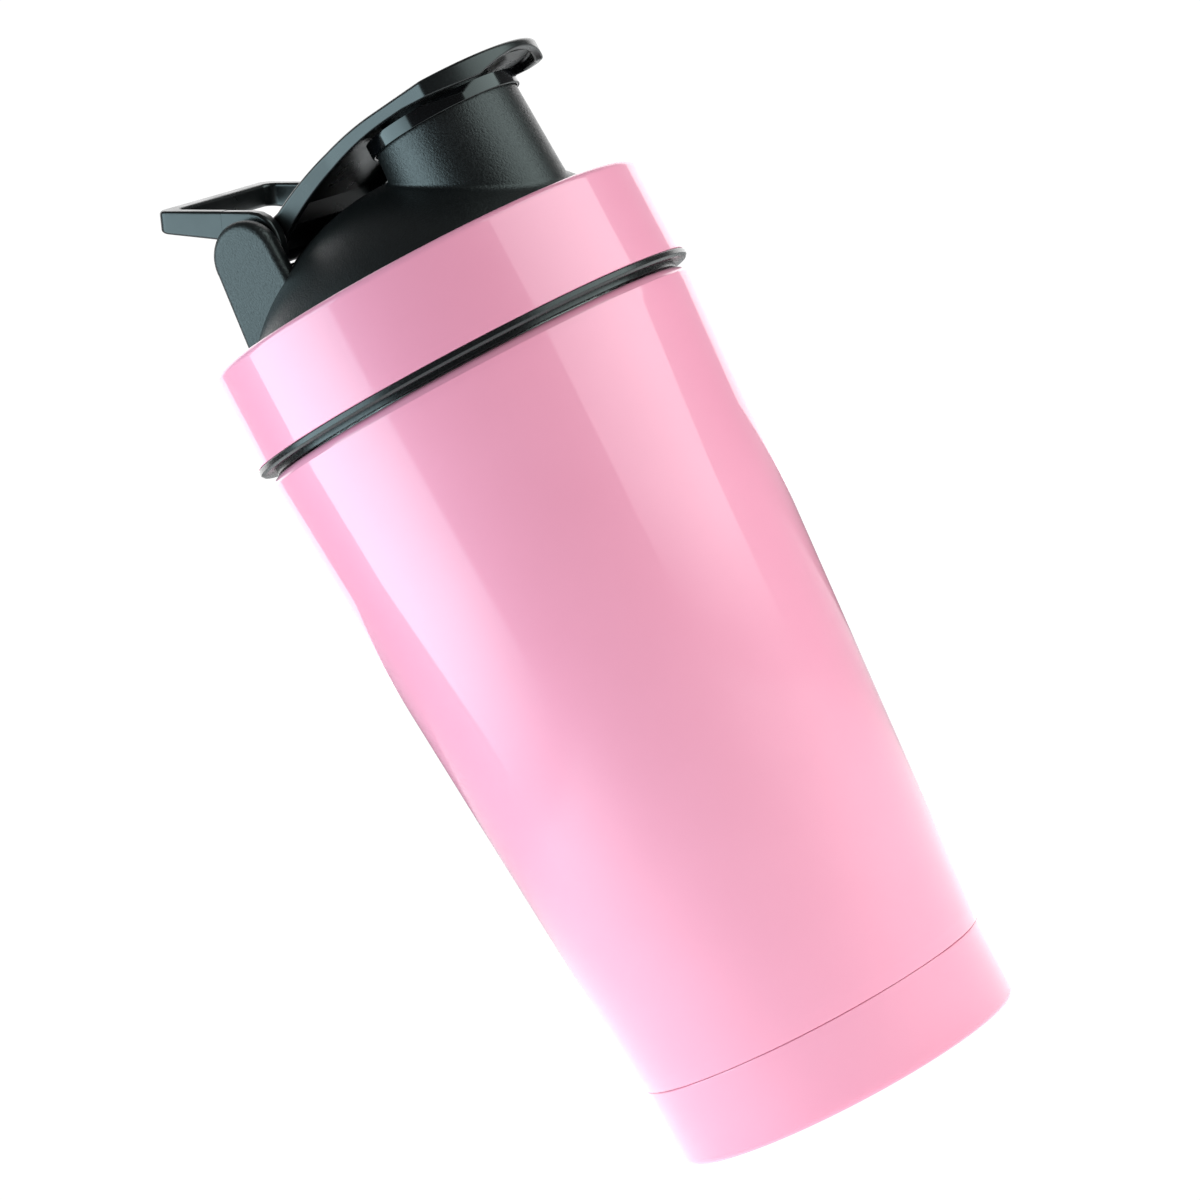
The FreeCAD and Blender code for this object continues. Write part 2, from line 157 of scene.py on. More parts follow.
def rounded(corners, steps=8):
    """Half section in millimetres; a corner (radius, height, round) is rounded off, an entry
    ("arc", centre, height, radius, start, stop) is an arc in degrees."""
    plain = []
    for corner in corners:
        if corner[0] == "arc":
            _, r, z, radius, start, stop = corner
            for i in range(61):
                a = math.radians(start + (stop - start) * i / 60)
                plain.append((r + radius * math.cos(a), z + radius * math.sin(a), 0.0))
        else:
            plain.append((corner[0], corner[1], corner[2] if len(corner) > 2 else 0.0))
    points = []
    for i, (r, z, bend) in enumerate(plain):
        here = Vector((r, z))
        if not bend:
            points.append(here)
            continue
        before = (Vector(plain[i - 1][:2]) - here).normalized()
        after = (Vector(plain[(i + 1) % len(plain)][:2]) - here).normalized()
        half = before.angle(after) / 2
        middle = here + (before + after).normalized() * bend / math.sin(half)
        first = here + before * bend / math.tan(half) - middle
        last = here + after * bend / math.tan(half) - middle
        sweep = first.angle(last)
        for k in range(steps + 1):
            t = k / steps
            points.append(middle + (first * math.sin((1 - t) * sweep) + last * math.sin(t * sweep))
                          / math.sin(sweep))
    return points


def fine(points, longest=6.0):
    """Split the long runs of a closed section so that light flows evenly over it."""
    split = []
    for p, q in zip(points, points[1:] + points[:1]):
        parts = max(1, round((q - p).length / longest))
        split += [p.lerp(q, k / parts) for k in range(parts)]
    return split


def lathe(bm, section, around=288, centre=0.0):
    """Turn a closed half section in millimetres into a closed skin."""
    rings = []
    for k in range(around):
        a = 2 * math.pi * k / around
        rings.append([bm.verts.new(((centre + p.x * math.cos(a)) * MM, p.x * math.sin(a) * MM,
                                    p.y * MM)) for p in section])
    for k, ring in enumerate(rings):
        after = rings[(k + 1) % around]
        for i in range(len(section)):
            j = (i + 1) % len(section)
            if section[i].x < 1e-6 and section[j].x < 1e-6:
                continue
            bm.faces.new((ring[i], after[i], after[j], ring[j]))
    bmesh.ops.remove_doubles(bm, verts=bm.verts, dist=1e-8)


def shaped(name, bm, body, slot, material, *nodes, crease=32.0):
    """Turn a drawn skin into a piece: soft shading, its finish, its body and what it replaces."""
    bmesh.ops.recalc_face_normals(bm, faces=bm.faces)
    mesh = bpy.data.meshes.new(name)
    bm.to_mesh(mesh)
    bm.free()
    mesh.shade_smooth()
    mesh.set_sharp_from_angle(angle=math.radians(crease))
    mesh.materials.append(material)
    made = bpy.data.objects.new(name, mesh)
    bpy.context.scene.collection.objects.link(made)
    even = made.modifiers.new("even_normals", "WEIGHTED_NORMAL")
    even.keep_sharp = True
    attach(made, body)
    if nodes:
        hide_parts(*nodes)
    return made


lacquer = finish("rose_lacquer", (0.81, 0.287, 0.405), 0.36, Coat_Weight=0.7, Coat_Roughness=0.035,
                 Coat_IOR=1.5, IOR=1.45)
mist = grain(lacquer, place_of(lacquer), 22.0)
flake = grain(lacquer, place_of(lacquer), 5200.0, 1.0)
peel = grain(lacquer, place_of(lacquer), 380.0, 1.0)
tint(lacquer, spread(lacquer, mist, 0.0, 1.0), (0.795, 0.278, 0.394), (0.825, 0.296, 0.416))
join(lacquer, spread(lacquer, flake, 0.3, 0.42), "Roughness")
relief(lacquer, [(peel, 0.004), (flake, 0.0006)])

shell = bmesh.new()
lathe(shell, fine(rounded([
    (37.9, 3.0), (38.2, 17.3), (38.95, 17.3, 0.25), (39.33, 20.5, 9.0), (49.35, 162.8, 40.0),
    (49.35, 166.0, 3.0), (43.2, 166.0), (43.2, 165.5), (48.85, 165.5, 2.4), (48.85, 162.8),
    (38.7, 18.2), (37.7, 17.2), (37.4, 3.0)])))
shaped("outer_shell_skin", shell, "cup", "painted_skin", lacquer, "outer_shell")

# ---- base cup --------------------------------------------------------------------------------
# Shallow steel cup pressed up over the spigot, same paint; its edge meets the shell in a fine
# seam, and its underside is dished so that only the rim stands on the table.

base = bmesh.new()
lathe(base, fine(rounded([
    (0, 0.5), (33.5, 0.5, 3.0), (34.5, 0.0, 2.0), (38.7, 0, 1.4), (38.95, 17.24, 0.25),
    (38.3, 17.24), (38.02, 0.95, 0.8), (0, 0.95)])))
shaped("base_cup_skin", base, "cup", "painted_skin", lacquer, "base_cup")

# ---- screw ring ------------------------------------------------------------------------------
# Black moulded ring screwed to the neck: a thin flange shows under the collar, a two-start
# thread runs inside its sleeve.

ring_plastic = finish("ring_plastic", (0.005, 0.005, 0.0055), 0.26, IOR=1.5)
flow = grain(ring_plastic, place_of(ring_plastic), 1500.0)
join(ring_plastic, spread(ring_plastic, flow, 0.22, 0.3), "Roughness")
relief(ring_plastic, [(flow, 0.004)])

ring = bmesh.new()
lathe(ring, fine(rounded([
    (45.1, 166.3), (46.8, 166.3, 0.2), (46.8, 167.3), (49.6, 167.3, 0.2), (50.1, 167.8, 0.3),
    (50.1, 168.9, 0.3), (47.3, 168.9), (47.3, 184.9, 0.3), (45.1, 184.9, 0.3)])))
LEAD, THREAD_FOOT, SLEEVE_IN, RIDGE, STEPS = 12.0, 169.5, 45.2, 1.6, 96
for start in (0.0, math.pi):
    rail = []
    for k in range(STEPS + 1):
        turn = math.pi * k / STEPS
        fade = min(1.0, 12 * min(k, STEPS - k) / STEPS + 0.05)
        z = THREAD_FOOT + LEAD * turn / (2 * math.pi)
        tip = SLEEVE_IN - RIDGE * fade
        rail.append([ring.verts.new((r * math.cos(start + turn) * MM, r * math.sin(start + turn) * MM,
                                     (z + dz) * MM))
                     for r, dz in ((45.4, -1.3), (tip, -0.6), (tip, 0.6), (45.4, 1.3))])
    for p, q in zip(rail, rail[1:]):
        for i in range(4):
            j = (i + 1) % 4
            ring.faces.new((p[i], q[i], q[j], p[j]))
    ring.faces.new(rail[0])
    ring.faces.new(rail[-1])
shaped("screw_ring", ring, "lid", "ring_plastic", ring_plastic, "thread_ring")

# ---- collar ----------------------------------------------------------------------------------
# Steel sleeve round the lid, rolled in over the lid's wall at the top and stood on the flange;
# the same rose lacquer.

collar = bmesh.new()
lathe(collar, fine(rounded([
    (49.3, 168.95), (50.0, 168.95, 0.25), (50.0, 190.0, 1.6), (47.9, 190.0, 0.3), (47.9, 189.3),
    (49.3, 189.3, 0.8)])))
shaped("lid_collar_skin", collar, "lid", "painted_skin", lacquer, "lid_collar")

# ---- lid -------------------------------------------------------------------------------------
# One polypropylene moulding: low dome in a trough, tapered spout, and the two ears of the
# hinge. Moulded in a spark-textured tool, so it has a fine even grain.

lid_plastic = finish("spark_black", (0.0035, 0.0036, 0.0038), 0.38, IOR=1.5)
sparks = grain(lid_plastic, place_of(lid_plastic), 2300.0, 3.0)
cloud = grain(lid_plastic, place_of(lid_plastic), 260.0)
join(lid_plastic, spread(lid_plastic, sparks, 0.32, 0.46), "Roughness")
tint(lid_plastic, spread(lid_plastic, cloud, 0.0, 1.0), (0.003, 0.0031, 0.0033), (0.004, 0.0041, 0.0043))
sink = grain(lid_plastic, place_of(lid_plastic), 45.0, 0.0)
relief(lid_plastic, [(sink, 0.8), (sparks, 0.09)])

DOME, DOME_Z, WALL = 50.2, 159.6, 2.0
SPOUT_X, SPOUT_TOP, SPOUT_RAD, TAPER, BORE = 21.8, 215.9, 16.1, 0.0385, 14.2
FOOT = math.degrees(math.acos(27.6 / DOME))
INSIDE = math.degrees(math.asin(37.6 / (DOME - WALL)))

dome = bmesh.new()
lathe(dome, fine(rounded([
    (49.15, 168.95), (49.15, 189.25, 0.9), (47.5, 189.25, 0.3), (47.2, 187.2, 0.8),
    ("arc", 0.0, DOME_Z, DOME, 90.0 - FOOT, 90.0),
    ("arc", 0.0, DOME_Z, DOME - WALL, 90.0, 90.0 - INSIDE),
    (37.6, 187.0), (39.3, 187.0), (39.3, 185.4), (47.6, 185.4), (47.6, 168.95)]), 3.0))
drill = bmesh.new()
lathe(drill, [Vector(p) for p in ((0, 180), (15.2, 180), (15.2, 220), (0, 220))], 96, SPOUT_X)


def mesh_of(bm, name):
    bmesh.ops.recalc_face_normals(bm, faces=bm.faces)
    mesh = bpy.data.meshes.new(name)
    bm.to_mesh(mesh)
    bm.free()
    made = bpy.data.objects.new(name, mesh)
    bpy.context.scene.collection.objects.link(made)
    return made


def settled(made):
    """The object's mesh with its modifiers applied, as a fresh skin; the object goes."""
    bpy.context.view_layer.update()
    shape = made.evaluated_get(bpy.context.evaluated_depsgraph_get())
    bm = bmesh.new()
    bm.from_mesh(shape.to_mesh())
    bm.transform(made.matrix_world)
    shape.to_mesh_clear()
    bpy.data.objects.remove(made)
    return bm


blank, cutter = mesh_of(dome, "lid_blank"), mesh_of(drill, "spout_drill")
cut = blank.modifiers.new("cut", "BOOLEAN")
cut.operation, cut.solver, cut.object = "DIFFERENCE", "EXACT", cutter
lid = settled(blank)
bpy.data.objects.remove(cutter)


def dome_top(x, y, radius=DOME):
    return DOME_Z + math.sqrt(max(radius ** 2 - x * x - y * y, 1.0))


def spout_wall(z):
    """Outside radius of the spout, which widens towards its foot."""
    return SPOUT_RAD + (SPOUT_TOP - z) * TAPER


def add_spout(bm, around=192, fillet=0.9):
    """Tapered tube that follows the dome outside and inside, with a small fillet at its foot."""
    rings = []
    for k in range(around):
        a = 2 * math.pi * k / around
        ca, sa = math.cos(a), math.sin(a)
        foot = dome_top(SPOUT_X + 16.8 * ca, 16.8 * sa)
        bottom = dome_top(SPOUT_X + 15.0 * ca, 15.0 * sa, DOME - WALL) - 0.25
        line = [(BORE, bottom), (BORE, SPOUT_TOP - 0.5)]
        line += [(BORE + 0.5 - 0.5 * math.cos(t), SPOUT_TOP - 0.5 + 0.5 * math.sin(t))
                 for t in (0.4, 0.8, 1.2, 1.57)]
        line += [(SPOUT_RAD - 0.6 + 0.6 * math.sin(t), SPOUT_TOP - 0.6 + 0.6 * math.cos(t))
                 for t in (0.0, 0.4, 0.8, 1.2, 1.57)]
        high = foot + fillet * 1.6
        sides = [SPOUT_TOP + (high - SPOUT_TOP) * s / 8 for s in range(1, 8)]
        line += [(spout_wall(z), z) for z in sides]
        for s in range(9):
            t = math.pi / 2 * s / 8
            r = spout_wall(foot) + fillet * (1 - math.cos(t))
            line.append((r, dome_top(SPOUT_X + r * ca, r * sa) + fillet * (1 - math.sin(t))))
        r = spout_wall(foot) + fillet + 0.5
        line.append((r, dome_top(SPOUT_X + r * ca, r * sa) - 0.25))
        line.append((15.6, dome_top(SPOUT_X + 15.6 * ca, 15.6 * sa) - 1.0))
        line.append((15.6, bottom))
        rings.append([bm.verts.new(((SPOUT_X + r * ca) * MM, r * sa * MM, z * MM)) for r, z in line])
    for k, ring in enumerate(rings):
        after = rings[(k + 1) % around]
        for i in range(len(ring)):
            j = (i + 1) % len(ring)
            bm.faces.new((ring[i], after[i], after[j], ring[j]))


def plate(bm, loops, near, far, edge, place=Matrix.Identity(4)):
    """Flat part with rounded edges from closed outlines in the XZ plane (millimetres), between
    two distances along Y; further outlines are holes."""
    curve = bpy.data.curves.new("outline", "CURVE")
    curve.dimensions, curve.fill_mode = "2D", "BOTH"
    for loop in loops:
        line = curve.splines.new("POLY")
        line.points.add(len(loop) - 1)
        for point, (x, z) in zip(line.points, loop):
            point.co = (x, z, 0, 1)
        line.use_cyclic_u = True
    curve.extrude = (far - near) / 2 - edge
    curve.bevel_depth, curve.bevel_resolution, curve.offset = edge, 4, -edge
    made = bpy.data.objects.new("outline", curve)
    bpy.context.scene.collection.objects.link(made)
    made.matrix_world = (place @ Matrix.Translation((0, (near + far) / 2 * MM, 0))
                         @ Matrix.Rotation(math.pi / 2, 4, "X") @ Matrix.Scale(MM, 4))
    flat = settled(made)
    bpy.data.curves.remove(curve)
    bmesh.ops.remove_doubles(flat, verts=flat.verts, dist=1e-7)
    mesh = bpy.data.meshes.new("flat")
    flat.to_mesh(mesh)
    flat.free()
    bm.from_mesh(mesh)
    bpy.data.meshes.remove(mesh)


def arc(x, z, radius, start, stop, steps=24):
    """Points of an arc, in degrees."""
    return [(x + radius * math.cos(math.radians(start + (stop - start) * i / steps)),
             z + radius * math.sin(math.radians(start + (stop - start) * i / steps)))
            for i in range(steps + 1)]


PIN_X, PIN_Z, PIN = -21.9, 209.1, 1.5
EAR_IN, EAR_OUT = 20.9, 25.3
EAR_SIDE = [(-32.5, 187.6), (-13.7, 187.6)] + arc(-22.0, 208.5, 8.1, 0.0, 180.0, 40)

add_spout(lid)
plate(lid, [EAR_SIDE], -EAR_OUT, -EAR_IN, 1.8)
plate(lid, [EAR_SIDE], EAR_IN, EAR_OUT, 1.8)
# rib that ties the ears together, and the block under the knuckle
plate(lid, [[(-26.0, 192.0), (-18.5, 192.0), (-18.5, 201.8), (-26.0, 201.8)]], -21.5, 21.5, 0.3)
plate(lid, [[(-29.5, 192.0), (-21.5, 192.0), (-21.5, 204.9), (-28.0, 204.9), (-29.5, 203.4)]],
      -16.9, 16.9, 0.3)
shaped("lid_moulding", lid, "lid", "lid_plastic", lid_plastic, "lid_shell")

# ---- gasket ----------------------------------------------------------------------------------
# Flat grey ring, moulded in silicone and pushed up into the lid, where it seals
# the mouth of the liner.

silicone = finish("silicone", (0.42, 0.42, 0.43), 0.55, Subsurface_Weight=0.1, IOR=1.41)
bloom = grain(silicone, place_of(silicone), 900.0)
join(silicone, spread(silicone, bloom, 0.48, 0.64), "Roughness")
relief(silicone, [(bloom, 0.006)])
dress("lid_gasket", silicone)

# ---- mixing grid -----------------------------------------------------------------------------
# Snap-in grid that breaks up lumps, moulded in black polypropylene; its bars have slightly
# soft edges.

grid_plastic = finish("grid_plastic", (0.02, 0.02, 0.022), 0.42, IOR=1.5)
matt = grain(grid_plastic, place_of(grid_plastic), 1500.0)
join(grid_plastic, spread(grid_plastic, matt, 0.36, 0.5), "Roughness")
relief(grid_plastic, [(matt, 0.01)])

grid = dress("mixing_grid", grid_plastic)
soft = grid.modifiers.new("soft_edges", "BEVEL")
soft.width, soft.segments, soft.angle_limit = 0.3 * MM, 2, math.radians(50)

# ---- hinge pin -------------------------------------------------------------------------------
# Ground stainless pin, 3 mm across, pressed into the blind holes of the ears; the cap and the
# carry loop turn on it.

pin_steel = finish("pin_steel", (0.6, 0.6, 0.6), 0.2, Metallic=1.0)
scratch = grain(pin_steel, place_of(pin_steel, (1.0, 6.0, 1.0)), 900.0)
join(pin_steel, spread(pin_steel, scratch, 0.14, 0.3), "Roughness")
relief(pin_steel, [(scratch, 0.003)])
dress("hinge_pin", pin_steel)

# ---- flip cap --------------------------------------------------------------------------------
# Bowed arm running into a round lid with a turned-down rim, hollow underneath, notched at the
# tip for the thumb. Moulded in the same black, with a smoother satin face.

cap_plastic = finish("satin_black", (0.0045, 0.0047, 0.005), 0.3, IOR=1.5)
satin = grain(cap_plastic, place_of(cap_plastic), 2600.0, 2.0)
haze = grain(cap_plastic, place_of(cap_plastic), 150.0)
join(cap_plastic, spread(cap_plastic, haze, 0.26, 0.34), "Roughness")
relief(cap_plastic, [(satin, 0.008)])

CAP_END, CAP_HALF, CAP_LOW, CAP_SKIN, CAP_TOP = 23.8, 17.1, 217.1, 1.8, 220.85
ROOT_TOP, NECK_TOP, BOW_END = (PIN_X, 213.2), (-14.7, 214.5), (18.0, CAP_TOP)
ROOT_FOOT, HEEL, NECK_FOOT = (PIN_X, 205.6), (-18.6, 207.3), (-14.7, 209.5)
RIM_START, RIM_SLOPE, RIM_END = (21.0, 217.9), (26.0, 217.9), (41.0, 216.5)
NOTCH_X, NOTCH_Z, NOTCH_RAD = 37.8, 182.9, 36.0
FLANK_X, HOLLOW_START = 2.5, -12.0


def slant(x, start, stop):
    """Height at x on the straight line through two points."""
    return start[1] + (x - start[0]) * (stop[1] - start[1]) / (stop[0] - start[0])


def bow(x, start, stop, radius):
    """Height at x on an arc that bulges up between two points."""
    half = (Vector(stop) - Vector(start)) / 2
    away = math.sqrt(radius ** 2 - half.length ** 2)
    middle = Vector(start) + half + Vector((half.y, -half.x)).normalized() * away
    return middle.y + math.sqrt(radius ** 2 - (x - middle.x) ** 2)


def cap_high(x):
    """Top of the cap: short straight root, bowed arm, flat lid."""
    if x < NECK_TOP[0]:
        return slant(x, ROOT_TOP, NECK_TOP)
    if x < BOW_END[0]:
        return bow(x, NECK_TOP, BOW_END, 88.0)
    return CAP_TOP


def cap_foot(x, y):
    """Lower edge of the rim, with the thumb notch."""
    if x < HEEL[0]:
        return slant(x, ROOT_FOOT, HEEL)
    if x < NECK_FOOT[0]:
        return slant(x, HEEL, NECK_FOOT)
    if x < RIM_START[0]:
        return bow(x, NECK_FOOT, RIM_START, 80.0)
    rim = slant(min(max(x, RIM_SLOPE[0]), RIM_END[0]), RIM_SLOPE, RIM_END)
    notch = NOTCH_Z + math.sqrt(NOTCH_RAD ** 2 - y * y) if x > NOTCH_X else 0.0
    return max(rim, notch)


def near_side(bend=2.0, flare=math.radians(7.52)):
    """Plan of the cap's near half with outward normals: arm, flared flank, corner, round end."""
    line = [(PIN_X + (FLANK_X - PIN_X) * k / 24, -CAP_HALF, 0.0, -1.0) for k in range(24)]
    along = Vector((math.cos(flare), -math.sin(flare)))
    out = Vector((-math.sin(flare), -math.cos(flare)))
    start, hub = Vector((FLANK_X, -CAP_HALF)), Vector((SPOUT_X, 0.0))
    gap = start - out * bend - hub
    b = gap.dot(along)
    run = -b + math.sqrt(b * b - gap.dot(gap) + (CAP_END - bend) ** 2)
    pivot = start - out * bend + along * run
    for k in range(26):
        p = start + along * run * k / 25
        line.append((p.x, p.y, out.x, out.y))
    first = math.atan2(out.y, out.x)
    last = math.atan2(pivot.y, pivot.x - SPOUT_X)
    for k in range(1, 12):
        a = first + (last - first) * k / 12
        line.append((pivot.x + bend * math.cos(a), pivot.y + bend * math.sin(a),
                     math.cos(a), math.sin(a)))
    for k in range(51):
        a = last * (1 - k / 50)
        line.append((SPOUT_X + CAP_END * math.cos(a), CAP_END * math.sin(a), math.cos(a), math.sin(a)))
    return line


cap = bmesh.new()
EDGE, LIP, BOSS, BOSS_TOP = 1.0, 0.45, 12.5, 219.3
plan = near_side()
section = [(EDGE + 0.2, "top", 0.0)]
section += [(EDGE * (1 - math.sin(t)), "top", EDGE * (1 - math.cos(t)))
            for t in [math.pi / 2 * k / 7 for k in range(8)]]
section += [(LIP * (1 - math.cos(t)), "foot", LIP * (1 - math.sin(t)))
            for t in [math.pi / 2 * k / 5 for k in range(6)]]
section += [(CAP_SKIN - 0.3, "foot", 0.0), (CAP_SKIN, "foot", 0.3), (CAP_SKIN + 0.1, "roof", 0.3),
            (CAP_SKIN + 0.4, "roof", 0.0)]


def cap_point(x, y, nx, ny, inset, rule, drop):
    x, y = max(x - nx * inset, PIN_X), y - ny * inset
    if rule == "top":
        z = cap_high(x) - drop
    elif rule == "foot":
        z = cap_foot(x, y) + drop
    else:
        z = cap_high(x) - CAP_SKIN - drop if x > HOLLOW_START else cap_foot(x, y) + 0.01
    return cap.verts.new((x * MM, y * MM, z * MM))


loops = []
for side in (1, -1):
    for inset, rule, drop in section:
        loops.append([cap_point(x, side * y, nx, side * ny, inset, rule, drop)
                      for x, y, nx, ny in plan])
count = len(section)
for side in (0, count):
    for i in range(count - 1):
        p, q = loops[side + i], loops[side + i + 1]
        for k in range(len(plan) - 1):
            cap.faces.new((p[k], p[k + 1], q[k + 1], q[k]))
for i in (0, count - 1):
    for k in range(len(plan) - 1):
        p, q = loops[i], loops[count + i]
        cap.faces.new((p[k], p[k + 1], q[k + 1], q[k]))
cap.faces.new([loops[i][0] for i in range(count)] + [loops[count + i][0] for i in reversed(range(count))])
bmesh.ops.remove_doubles(cap, verts=cap.verts, dist=1e-7)

# knuckle on the pin, and the boss that carries the sealing cup
KNUCKLE = [arc(PIN_X, PIN_Z, 3.6, 0.0, 360.0, 64)[:-1],
           arc(PIN_X, PIN_Z, PIN + 0.05, 0.0, 360.0, 48)[:-1]]
plate(cap, KNUCKLE, -CAP_HALF, CAP_HALF, 0.3)
lathe(cap, rounded([(0, CAP_LOW + 0.05), (BOSS, CAP_LOW + 0.05), (BOSS, BOSS_TOP), (0, BOSS_TOP)]),
      96, SPOUT_X)
shaped("flip_cap_moulding", cap, "cap", "cap_plastic", cap_plastic, "flip_cap")

# ---- sealing cup -----------------------------------------------------------------------------
# Silicone cup pushed on under the cap: a plug goes into the spout and a skirt goes round it.
# Moulded in a polished tool, so it is glossier than the cap.

seal_silicone = finish("seal_silicone", (0.003, 0.003, 0.0035), 0.1, IOR=1.5)
smear = grain(seal_silicone, place_of(seal_silicone), 300.0)
join(seal_silicone, spread(seal_silicone, smear, 0.07, 0.13), "Roughness")
relief(seal_silicone, [(smear, 0.006)])

seal = bmesh.new()
lathe(seal, fine(rounded([
    (0, 215.6), (11.6, 215.6, 0.4), (11.6, 210.6, 0.4), (13.2, 210.6, 0.5), (13.7, 216.3),
    (16.4, 216.3), (16.4, 214.0, 0.2), (17.1, 214.0, 0.3), (17.1, CAP_LOW), (0, CAP_LOW)]), 2.0),
    192, SPOUT_X)
shaped("sealing_cup", seal, "cap", "seal_silicone", seal_silicone, "cap_seal")

# ---- carry loop ------------------------------------------------------------------------------
# Stiff moulded bail on the same pin, outside the cap's knuckle and inside the ears, deeper at
# its eyes than at its end bar; the same satin black as the cap.

loop_plastic = finish("loop_black", (0.0045, 0.0047, 0.005), 0.3, IOR=1.5)
loop_grain = grain(loop_plastic, place_of(loop_plastic), 2600.0, 2.0)
loop_haze = grain(loop_plastic, place_of(loop_plastic), 170.0)
join(loop_plastic, spread(loop_plastic, loop_haze, 0.26, 0.34), "Roughness")
relief(loop_plastic, [(loop_grain, 0.008)])

LOOP_IN, LOOP_OUT, REACH, BAR, LOW, HIGH = 17.4, 20.6, 24.2, 3.5, 4.2, 8.9
RAIL_START, DEEPEN, EDGE_RAD = 7.5, 0.088, 0.8
TILT = math.radians(27.0)
loop_place = Matrix(((-math.cos(TILT), 0, math.sin(TILT), PIN_X * MM), (0, -1, 0, 0),
                     (math.sin(TILT), 0, math.cos(TILT), PIN_Z * MM), (0, 0, 0, 1)))


def bail_rail(half, end, bend):
    """Plan of one side of the bail: arm, corner, end bar, corner, arm."""
    line = [(RAIL_START + (end - bend - RAIL_START) * k / 12, -half) for k in range(12)]
    line += [(end - bend + bend * math.sin(t), -half + bend * (1 - math.cos(t)))
             for t in [math.pi / 2 * k / 12 for k in range(13)]]
    line += [(end, (-half + bend) * (1 - k / 6)) for k in range(1, 6)] + [(end, 0.0)]
    return line + [(x, -y) for x, y in reversed(line[:-1])]


loop = bmesh.new()
inner, outer = bail_rail(LOOP_IN, REACH - BAR, 2.4), bail_rail(LOOP_OUT, REACH, 2.6)
rings = []
for (xi, yi), (xo, yo) in zip(inner, outer):
    wide, ring_points = math.hypot(xo - xi, yo - yi), []
    for cx, cz, start in ((0, 0, 180), (1, 0, 270), (1, 1, 0), (0, 1, 90)):
        for k in range(5):
            a = math.radians(start + 22.5 * k)
            s = (cx * wide + EDGE_RAD * (1 - 2 * cx) + EDGE_RAD * math.cos(a)) / wide
            x, y = xi + (xo - xi) * s, yi + (yo - yi) * s
            low = LOW - (REACH - x) * DEEPEN
            z = low + cz * (HIGH - low) + EDGE_RAD * (1 - 2 * cz) + EDGE_RAD * math.sin(a)
            ring_points.append(loop.verts.new(loop_place @ Vector((x * MM, y * MM, z * MM))))
    rings.append(ring_points)
for p, q in zip(rings, rings[1:]):
    for i in range(len(p)):
        j = (i + 1) % len(p)
        loop.faces.new((p[i], q[i], q[j], p[j]))
loop.faces.new(rings[0])
loop.faces.new(rings[-1])
LOOP_EYE = (arc(0, 0, 6.8, -180.0, 0.0, 40) + [(9.4, 3.0), (9.4, HIGH - 0.05), (0.6, HIGH - 0.05)]
            + [(-1.6, 8.55), (-3.3, 7.7), (-4.7, 6.5), (-5.8, 4.9), (-6.5, 2.8)])
for near in (-LOOP_OUT, LOOP_IN):
    plate(loop, [LOOP_EYE, arc(0, 0, PIN + 0.05, 0.0, 360.0, 40)[:-1]], near + 0.03,
          near + LOOP_OUT - LOOP_IN - 0.03, EDGE_RAD, loop_place)
shaped("carry_bail", loop, "loop", "loop_plastic", loop_plastic, "carry_loop")

# ---- studio ----------------------------------------------------------------------------------
# Two tall soft boxes close on either side, a white card behind, a dim room, and a table that
# is seen as clean white. To the bottle the table glows with painted light in a pool round its foot, which
# lights the bottle from below.

paper = finish("paper", (0.8, 0.8, 0.8), 0.8, Emission_Color=(1.0, 1.0, 1.0, 1.0))
fibre = grain(paper, place_of(paper), 400.0)
join(paper, spread(paper, fibre, 0.75, 0.85), "Roughness")
# painted light: within 0.25 m of the bottle the table glows, fading out by 0.7 m, and this glow lights
# the bottle from below
away = node(paper, "ShaderNodeVectorMath", i0=place_of(paper))
away.operation = "LENGTH"
painted_light_pool = node(paper, "ShaderNodeMapRange", Value=away.outputs["Value"], From_Min=0.25, From_Max=0.7,
            To_Min=0.85, To_Max=0.0)
join(paper, painted_light_pool.outputs["Result"], "Emission Strength")
seen = node(paper, "ShaderNodeLightPath").outputs["Is Camera Ray"]
clean = node(paper, "ShaderNodeEmission", Color=(1.0, 1.0, 1.0, 1.0), Strength=1.05).outputs["Emission"]
pick = node(paper, "ShaderNodeMixShader", i0=seen, i2=clean)
lit = paper.node_tree.nodes["Principled BSDF"].outputs["BSDF"]
paper.node_tree.links.new(lit, pick.inputs[1])
paper.node_tree.links.new(pick.outputs["Shader"],
                          paper.node_tree.nodes["Material Output"].inputs["Surface"])
ground = bmesh.new()
bmesh.ops.create_circle(ground, cap_ends=True, segments=96, radius=12.0)
floor_mesh = bpy.data.meshes.new("floor")
ground.to_mesh(floor_mesh)
ground.free()
floor_mesh.materials.append(paper)
floor = bpy.data.objects.new("floor", floor_mesh)
floor.location.z = -0.0002
bpy.context.scene.collection.objects.link(floor)

world = bpy.data.worlds.new("room")
bpy.context.scene.world = world
world.use_nodes = True
tree = world.node_tree
sky = tree.nodes["Background"]
sky.inputs["Color"].default_value = (1.0, 1.0, 1.0, 1.0)
path = tree.nodes.new("ShaderNodeLightPath")
level = tree.nodes.new("ShaderNodeMapRange")
level.inputs["To Max"].default_value = 1.05
tree.links.new(path.outputs["Is Camera Ray"], level.inputs["Value"])
tree.links.new(level.outputs["Result"], sky.inputs["Strength"])

AZIMUTH = math.radians(32.5)
facing = tree.nodes.new("ShaderNodeVectorMath")
facing.operation = "DOT_PRODUCT"
facing.inputs[1].default_value = (math.sin(AZIMUTH), -math.cos(AZIMUTH), 0.0)
tree.links.new(tree.nodes.new("ShaderNodeTexCoord").outputs["Generated"], facing.inputs[0])
depth = tree.nodes.new("ShaderNodeMapRange")
for socket, number in (("From Min", -0.2), ("From Max", 1.0), ("To Min", 0.12), ("To Max", 0.068)):
    depth.inputs[socket].default_value = number
tree.links.new(facing.outputs["Value"], depth.inputs["Value"])
tree.links.new(depth.outputs["Result"], level.inputs["To Min"])


